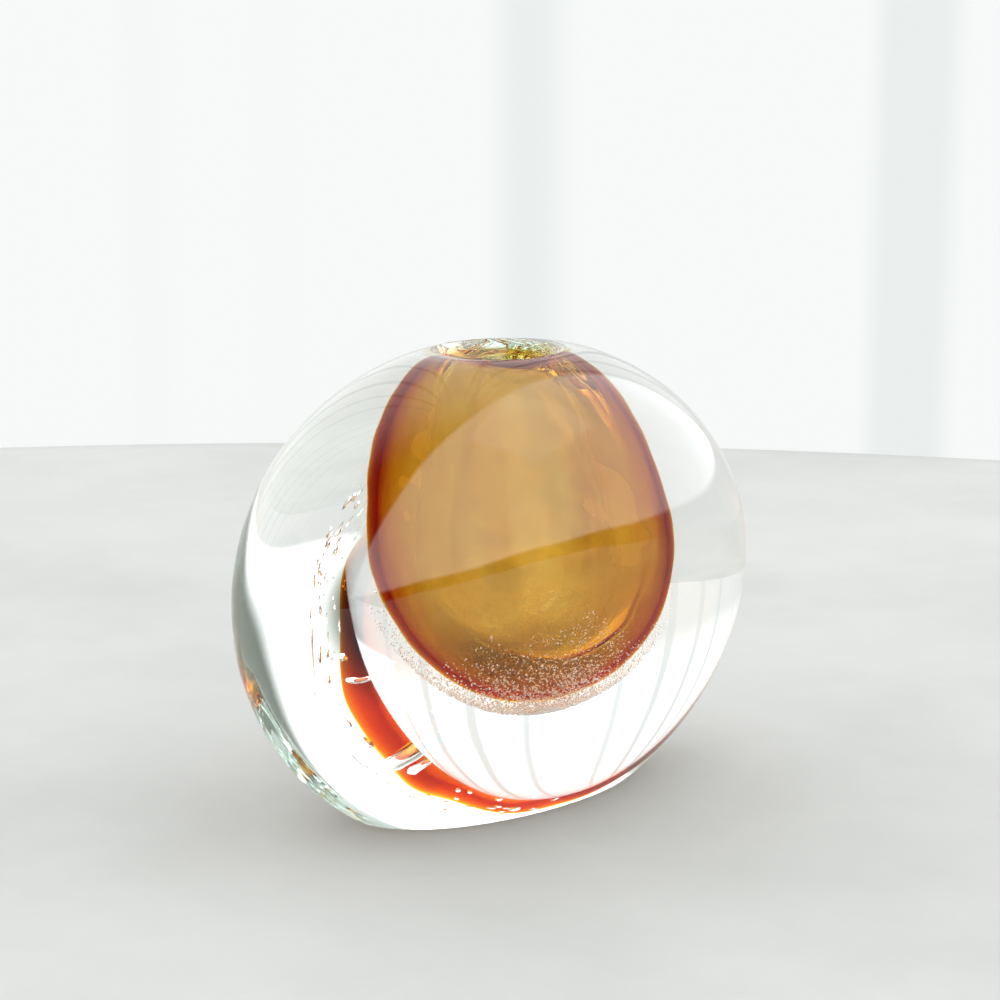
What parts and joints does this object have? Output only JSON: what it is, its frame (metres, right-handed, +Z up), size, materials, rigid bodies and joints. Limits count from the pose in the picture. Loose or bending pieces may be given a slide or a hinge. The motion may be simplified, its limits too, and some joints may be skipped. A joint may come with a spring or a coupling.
{
  "type": "glass bud vase",
  "caption": "Flattened pebble of thick clear glass cased over a small amber bottle with a seed-bubble veil, round mouth for one or a few stems, ground flat base.",
  "frame": {"origin": "middle of the ground base, on the surface that the vase stands on", "axes": "+X along the width of the broad face, +Y through the thickness, +Z up"},
  "size_m": [0.1798, 0.1174, 0.14],
  "materials": {
    "clear_casing_glass": "fire-polished, with a ground and polished base",
    "seed_bubble_sheet": "clear glass full of trapped seed bubbles",
    "clear_gather_glass": "clear, fused under the casing",
    "amber_glass": "transparent amber, smooth inside"
  },
  "bodies": {
    "root": {"outer_casing": "clear_casing_glass", "bubble_veil": "seed_bubble_sheet", "inner_gather": "clear_gather_glass", "amber_lining": "amber_glass"}
  },
  "joints": []
}
